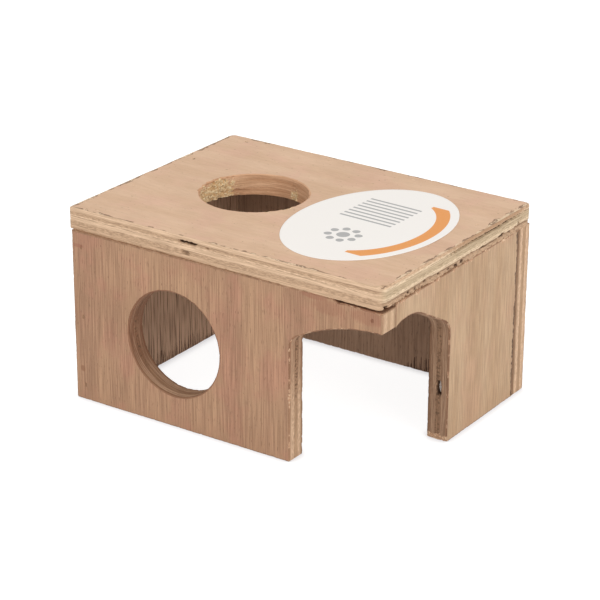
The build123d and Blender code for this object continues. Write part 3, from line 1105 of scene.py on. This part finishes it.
class Plywood:
    """Plywood, solid through the board: face veneer, plies by depth, fibres, frays and burnished cuts.

    veneer: its light, dark and pink tones. streaks: width, length and strength. pores: width, length,
    level and strength. burnt: tone of a burnished cut, and of the painted shade in a split. plies: as
    above,
    for both kinds of cut. backing: the inner face's tone against the outer one's, the backing veneer's own
    with painted light and shade in it that set how bright the inside reads. checks: how dark the inner
    face's checks are. fuzz: dark and pale tones of frayed fibres. splinters: the middle and half width of
    the stretch at the foot of the inner face that has them, and how high they reach. stains: places as (u,
    v, half width, half height, tone, strength, how deep they soak in), real stains and patches of painted
    shade.
    """

    def __init__(self, board, seed, veneer, streaks, pores, burnt, plies=wall_plies, fuzz=tan_fuzz,
                 backing=(0.8, 0.78, 0.76), checks=0.0, splinters=None, stains=()):
        self.upright, self.thickness = board.upright, board.thickness
        self.veneer, self.plies, self.burnt = veneer, plies, burnt
        self.backing, self.checks, self.splinters = backing, checks, splinters
        self.material, self.w, shader = new_material(board.name.replace("board", "plywood"))
        w = self.w
        point = w.attribute("board_point")
        self.u, self.v, self.depth = w.split(point)
        self.along, self.end_share, self.relief = w.split(w.attribute("cut"))
        inset, self.burnish, self.on_edge = w.split(w.attribute("wear"))
        self.fray, self.gape, inside_wear = w.split(w.attribute("harm"))
        grain_point = point if self.upright else w.combine(self.v, self.u, self.depth)
        streak_width, streak_length, self.streak_strength = streaks
        pore_width, pore_length, pore_level, self.pore_strength = pores
        self.grain = w.group(face_grain, Point=grain_point, Streak_Width=streak_width, Seed=seed,
                             Streak_Length=streak_length, Pore_Width=pore_width, Pore_Length=pore_length,
                             Pore_Level=pore_level)
        self.soil = w.group(soiling, Point=point, Seed=seed)
        self.tufts = w.group(frayed_fibre, Point=w.combine(self.along, self.depth, inset), Seed=seed)
        self.wear = w.group(veneer_end, Point=point, Inside=inside_wear, Seed=seed)
        self.edge = self.cut_fibres(seed)
        colour = self.face_or_cut()
        for stain in stains:
            colour = self.stained(colour, *stain)
        w.join(self.damaged(colour, fuzz), shader.inputs["Base Color"])
        w.join(w.span(self.soil["Dust"], 0.3, 0.7, 0.62, 0.8), shader.inputs["Roughness"])
        shader.inputs["Specular IOR Level"].default_value = 0.3
        height = self.grain["Streaks"] * 0.10 + self.grain["Pores"] * -0.05
        height = height + self.edge["Fibres"] * self.on_edge * 0.22 + self.tufts["Tufts"] * self.fray * 0.4
        w.bump(shader, 0.6, MM, height)

    def cut_fibres(self, seed):
        """The fibres of the cut plies. A burnished cut has none that cross it."""
        w = self.w
        ply = w.span(w.math("SINE", self.depth * (ply_count * math.pi / self.thickness)), -0.2, 0.2)
        crossing = abs(ply - self.end_share)
        if not self.upright:
            crossing = 1.0 - crossing
        crossing = crossing * w.span(self.burnish, 0.3, 0.7, 1.0, 0.0)
        return w.group(ply_edge, Along=self.along, Depth=self.depth, Crossing=crossing,
                       Ply=self.thickness / ply_count, Seed=seed)

    def face(self):
        """The veneer of both faces, with its bands, streaks and pores and the marks of handling."""
        w, grain, depth = self.w, self.grain, self.depth
        light, dark, pink = self.veneer
        behind = w.span(depth, self.thickness - 0.5, self.thickness - 0.1)
        face = w.mix(w.span(grain["Bands"], 0.36, 0.64), light, dark)
        face = w.mix(w.span(grain["Blotches"], 0.45, 0.65) * 0.7, face, pink)
        # The inner face is the light tone times its backing: the backing veneer's own tone with painted
        # light and shade in it that set how bright the inside reads
        backed = (*(part * shade for part, shade in zip(light, self.backing)), 1.0)
        # Up towards the roof an upright board's inner face is painted darker, a painted shade under the
        # roof
        if self.upright:
            backed = w.mix(w.span(self.v, *shaded_heights, 0.0, 0.25), backed, dark_wood_and_shade)
        face = w.mix(behind, face, backed)
        face = w.mix(behind * w.span(grain["Streaks"], 0.47, 0.4, 0.0, self.checks), face, dark_wood_and_shade)
        face = w.mix(self.streak_strength, face,
                     w.mix(w.span(grain["Streaks"], 0.38, 0.62), *streak_shades), "MULTIPLY")
        face = w.mix(grain["Pores"] * self.pore_strength, face, dark_wood_and_shade)
        face = w.mix(0.6, face, w.mix(w.span(self.soil["Tone"], 0.3, 0.7), *handled_shades), "MULTIPLY")
        if self.splinters:
            middle, half, reach = self.splinters
            height = w.span(abs(self.u - middle), half, half * 0.7, 0.0, reach)
            height = height * w.span(grain["Streaks"], 0.54, 0.42)
            face = w.mix(w.math("LESS_THAN", self.v, height) * behind * 0.9, face, dark_wood_and_shade)
        # Brad marks are dark where they are sunk: the slits over the brads, painted darker the deeper they
        # sink, a painted shade in them.
        return w.mix(w.span(depth, 0.12, 0.42, 0.0, 0.5) * w.span(depth, 2.0, 1.0), face, dark_wood_and_shade)

    def core(self):
        """Cut plies: a burnished cut shows the cutter's rings, a plain one its fibres."""
        w, edge, burnish = self.w, self.edge, self.burnish
        share = edge["Warped Depth"] / self.thickness
        core = w.mix(self.end_share, *(w.ramp(share, stops) for stops in self.plies))
        rings = w.span(edge["Fibres"], 0.38, 0.64)
        core = w.mix(burnish * w.span(rings, 0.0, 1.0, 1.0, 0.72), core, self.burnt)
        core = w.mix(w.span(burnish, 0.0, 1.0, 0.65, 0.5), core, w.mix(rings, *ring_shades), "MULTIPLY")
        core = w.mix(edge["Pits"] * w.span(burnish, 0.0, 0.5, 0.3, 0.8), core, pit_brown)
        glue = w.span(burnish, 0.2, 0.55, 0.65, 0.65 if self.upright else 0.1)
        core = w.mix(edge["Glue Lines"] * glue, core, glue_brown)
        if self.upright:
            pitted = w.span(abs(share - 0.5), 0.13, 0.07) * w.span(burnish, 0.1, 0.4, 0.0, 0.8)
            core = w.mix(edge["Core Pits"] * (pitted * w.span(self.end_share, 0.3, 0.9)), core, pit_brown)
        # Deep hollows of a cut, its voids, tears and open joints, are painted dark by how deep they are:
        # painted shade in them. The deepest void's bottom is painted near white, a painted highlight where
        # light reaches in.
        core = w.mix(w.span(self.relief, 0.9, 1.4, 0.0, 0.9), core, dark_wood_and_shade)
        return w.mix(w.span(self.relief, 2.7, 3.0), core, painted_void_highlight)

    def face_or_cut(self):
        """The face veneer, and the cut plies on the edges and where the face is worn or sunk."""
        w, depth, thickness = self.w, self.depth, self.thickness
        cut = w.larger(w.span(self.on_edge, 0.35, 0.9), w.span(depth, 0.06, 0.2))
        cut = cut * w.span(depth, thickness - 0.02, thickness - 0.2)
        return w.mix(cut, self.face(), self.core())

    def stained(self, colour, u, v, half_u, half_v, stain, strength, deep):
        """The colour with a patch laid on it, a real stain or painted shade, that the streaks of the grain
        make ragged.
        """
        w = self.w
        off_u, off_v = (self.u - u) / half_u, (self.v - v) / half_v
        away = off_u * off_u + off_v * off_v + (self.grain["Streaks"] - 0.5) * 2.5
        soaked = w.span(away, 1.2, 0.4, 0.0, strength) * w.span(self.depth, deep, deep * 0.7)
        return w.mix(soaked, colour, stain)

    def damaged(self, colour, fuzz):
        """The colour with its frayed fibres, the end of the worn veneer with painted shade at its lines,
        and painted shade in the gaping joints.
        """
        w, torn = self.w, self.tufts
        tufts = w.mix(torn["Holes"] * 0.6, w.mix(torn["Tufts"], *fuzz), fuzz_hole_brown)
        colour = w.mix(w.span(self.fray, 0.15, 0.6, 0.0, 0.9), colour, tufts)
        on_top = w.span(self.on_edge, 0.7, 0.2) * w.span(self.depth, 1.6, 1.2) * 0.75
        colour = w.mix(self.wear["Bared"] * on_top, colour, bared_wood)
        # The veneer's end lines: the glue line at each step, with painted shade under the lifted veneer
        colour = w.mix(self.wear["Lines"] * on_top, colour, veneer_end_brown)
        # Gaping joints are painted dark: painted shade in the open gap between the boards
        return w.mix(self.gape * w.span(torn["Tufts"], 0.2, 0.8, 0.95, 0.5), colour, dark_wood_and_shade)


# Each backing holds painted light and shade besides the veneer's tone: the left end's lightens its inner
# face, painted light inside the house
plywoods = {
    roof: Plywood(
        roof, 3.0, (tone(219, 185, 155), tone(213, 178, 147), tone(218, 178, 152)),
        streaks=(1.6, 9.0, 0.07), pores=(0.9, 1.9, 0.70, 0.45), burnt=tone(207, 147, 104),
        plies=roof_plies, fuzz=ochre_fuzz, backing=(0.8, 0.74, 0.68),
        stains=[(104.0, 119.6, 4.5, 0.9, rusty, 0.8, 2.0), (117.0, 119.8, 9.0, 0.7, knot_brown, 0.4, 2.0),
                # The last patch is painted shade where the roof's rounded-over right-hand edge turns from
                # the light
                (162.2, 84.0, 1.3, 33.0, painted_edge_shade, 0.75, 2.2)]),
    front: Plywood(
        front, 11.0, (tone(174, 138, 109), tone(162, 126, 100), tone(172, 127, 104)),
        streaks=(0.42, 26.0, 0.5), pores=(0.45, 3.4, 0.66, 0.45), burnt=tone(134, 93, 69),
        stains=[(3.8, 14.9, 1.4, 1.8, knot_brown, 0.8, 2.0), (3.0, 73.4, 4.0, 1.0, ruddy, 0.5, 2.0),
                (134.0, 75.5, 9.0, 3.5, ruddy, 0.35, 2.0), (153.0, 75.5, 9.0, 3.5, ruddy, 0.4, 2.0),
                (155.0, 74.8, 1.0, 0.8, rusty, 0.8, 2.0), (160.0, 75.0, 0.8, 9.0, dusty, 0.45, 20.0),
                (127.0, 79.0, 7.0, 1.5, ruddy, 0.5, 2.0)]),
    back: Plywood(
        back, 17.0, (tone(186, 151, 125), tone(174, 140, 116), tone(182, 144, 121)),
        streaks=(0.9, 26.0, 0.28), pores=(0.5, 4.0, 0.64, 0.5), burnt=tone(132, 96, 72),
        backing=(0.84, 0.87, 0.89), checks=0.12, splinters=(25, 34, 7.0)),
    right_end: Plywood(
        right_end, 27.0, (tone(185, 156, 126), tone(177, 146, 115), tone(184, 149, 121)),
        streaks=(0.8, 18.0, 0.3), pores=(0.45, 3.0, 0.72, 0.3), burnt=tone(122, 87, 64)),
    left_end: Plywood(
        left_end, 33.0, (tone(185, 154, 124), tone(176, 142, 112), tone(182, 146, 118)),
        streaks=(0.7, 22.0, 0.5), pores=(0.45, 3.0, 0.7, 0.3), burnt=tone(132, 96, 72),
        backing=(1.14, 1.15, 1.28), checks=0.6, splinters=(50, 60, 7.0)),
}


def paper():
    """The label: white coated paper with an orange crescent, ruled grey lines and a ring of dots."""
    material, w, shader = new_material("printed_paper")
    x, y, share = w.split(w.attribute("print_point"))
    white, orange, grey = tone(246, 241, 235), tone(233, 152, 68), tone(150, 150, 150)
    # Crescent beside the right-hand rim
    side = w.span(x, 0.3, 0.31) * w.span(abs(y), 0.72, 0.71)
    colour = w.mix(w.band(share, 0.735, 0.9, 0.005) * side, white, orange)
    # Ruled lines in a block
    ruled = w.band(w.math("FRACT", y * 14.0), 0.38, 0.8, 0.04)
    block = w.span(abs(x + 0.12), 0.4, 0.395) * w.band(y, 0.02, 0.6, 0.01)
    colour = w.mix(ruled * block * 0.85, colour, grey)
    # Ring of dots round one in the middle
    dots = 8
    dx, dy = x + 0.05, (y + 0.38) * 1.4
    radius = w.math("SQRT", dx * dx + dy * dy)
    petal = w.math("FRACT", w.math("ARCTAN2", dy, dx) * (dots / (2 * math.pi))) - 0.5
    arc, off = petal * (radius * (2 * math.pi / dots)), radius - 0.2
    spot = w.math("SQRT", arc * arc + off * off)
    printed = w.larger(w.span(spot, 0.055, 0.05), w.span(radius, 0.09, 0.085))
    w.join(w.mix(printed * 0.8, colour, grey), shader.inputs["Base Color"])
    fleck = w.noise(w.attribute("print_point"), scale=60.0, detail=2.0)
    w.join(w.span(fleck, 0.3, 0.7, 0.38, 0.5), shader.inputs["Roughness"])
    w.bump(shader, 0.15, 0.1 * MM, fleck)
    return material


def brad_steel():
    """Drawn wire, dulled and browned by rust."""
    material, w, shader = new_material("brad_wire")
    point = w.draw("ShaderNodeVectorMath", {"operation": "SCALE"}, Scale=1 / MM,
                   Vector=w.draw("ShaderNodeTexCoord", out="Object"))
    rust = w.span(w.noise(point, scale=2.0, detail=3.0), 0.3, 0.5)
    w.join(w.mix(rust, (0.22, 0.19, 0.17, 1), (0.11, 0.055, 0.03, 1)), shader.inputs["Base Color"])
    w.join(w.span(rust, 0.0, 1.0, 0.45, 0.8), shader.inputs["Roughness"])
    w.join(w.span(rust, 0.0, 1.0, 0.8, 0.1), shader.inputs["Metallic"])
    return material


# ---- Stage, light and camera -------------------------------------------------------------------

def add_floor():
    """A pale floor that lights the house from below, and glows evenly where the camera sees it except for
    a painted contact shadow round the house's foot.
    """
    half = 4000.0
    corners = [(-half, -half, 0), (half, -half, 0), (half, half, 0), (-half, half, 0)]
    floor = add_mesh("studio_floor", corners, [(0, 1, 2, 3)], smooth_shading=False)
    material, w, shader = new_material("studio_floor")
    shader.inputs["Base Color"].default_value = (0.85, 0.85, 0.85, 1)
    shader.inputs["Roughness"].default_value = 0.9
    shader.inputs["Specular IOR Level"].default_value = 0.0
    shader.inputs["Emission Color"].default_value = (1, 1, 1, 1)
    shader.inputs["Emission Strength"].default_value = 0.25
    # A painted contact shadow: the glow is darkened a little within a few millimetres of the house
    nearness = w.draw("ShaderNodeAmbientOcclusion", Distance=6 * MM, out="AO")
    painted_contact_shadow = w.mix(w.span(nearness, 0.4, 1.0), (0.66, 0.655, 0.67, 1), (1, 1, 1, 1))
    glow = w.draw("ShaderNodeEmission", Color=painted_contact_shadow, Strength=0.91)
    lit = w.draw("ShaderNodeBsdfDiffuse", Color=(0.3, 0.3, 0.3, 1))
    shown = w.draw("ShaderNodeAddShader", given=(glow, lit))
    seen = w.draw("ShaderNodeLightPath", out="Is Camera Ray")
    both = w.draw("ShaderNodeMixShader", given=(seen, Signal(w, shader.outputs[0]), shown))
    output = next(node for node in material.node_tree.nodes if node.type == "OUTPUT_MATERIAL")
    w.join(both, output.inputs["Surface"])
    floor.data.materials.append(material)


def add_softbox(name, place, target, size, power):
    """A square soft light in metres, turned to what it lights."""
    light = bpy.data.lights.new(name, "AREA")
    light.shape = "RECTANGLE"
    light.size, light.size_y = size, size
    light.energy = power
    lamp = bpy.data.objects.new(name, light)
    lamp.location = place
    lamp.rotation_euler = (Vector(place) - Vector(target)).to_track_quat("Z", "Y").to_euler()
    bpy.context.scene.collection.objects.link(lamp)


def add_lights():
    """Even light from all round, a key light in front and a stronger one from the right."""
    world = bpy.data.worlds.new("studio")
    world.use_nodes = True
    world.node_tree.nodes["Background"].inputs["Color"].default_value = (1, 1, 1, 1)
    world.node_tree.nodes["Background"].inputs["Strength"].default_value = 0.8
    bpy.context.scene.world = world
    house_middle = (0, 0, 0.04)
    add_softbox("key_softbox", (-0.35, -1.0, 1.3), house_middle, 0.9, 5.5)
    add_softbox("side_softbox", (1.5, -0.5, 0.7), house_middle, 0.8, 9.0)
    bpy.context.scene.view_settings.view_transform = "Standard"


# Camera: where it stands and what it looks at, its turn, and a long lens on a 36 mm frame
camera_azimuth, camera_elevation, camera_roll = (math.radians(a) for a in (34.05, 22.82, 0.25))
camera_distance = 1003.1
camera_target = np.array([4.37, -7.59, 48.75])
camera_lens = 137.2


def add_camera():
    """The camera, which looks down its back axis at the target."""
    back_axis = np.array([math.sin(camera_azimuth) * math.cos(camera_elevation),
                          -math.cos(camera_azimuth) * math.cos(camera_elevation),
                          math.sin(camera_elevation)])
    level = np.cross(UP, back_axis)
    level /= np.linalg.norm(level)
    upright = np.cross(back_axis, level)
    right, up = turned(-camera_roll) @ np.array([level, upright])
    turn = Matrix((right, up, back_axis)).transposed().to_4x4()
    lens = bpy.data.cameras.new("studio_camera")
    lens.sensor_width = 36.0
    lens.lens = camera_lens
    camera = bpy.data.objects.new("studio_camera", lens)
    place = (camera_target + back_axis * camera_distance) * MM
    camera.matrix_world = Matrix.Translation(Vector(place)) @ turn
    bpy.context.scene.collection.objects.link(camera)
    bpy.context.scene.camera = camera


add_floor()
add_lights()
add_camera()


# ---- Dress the frame ---------------------------------------------------------------------------

for board, thing in zip(boards, board_objects):
    thing.data.materials.append(plywoods[board].material)
    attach(thing, "root")
    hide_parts(board.node)
label_object.data.materials.append(paper())
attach(label_object, "root")
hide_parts("roof_label")
wire = brad_steel()
for joint in brad_joints:
    mesh = frame["nodes"][joint].data
    mesh.materials.clear()
    mesh.materials.append(wire)
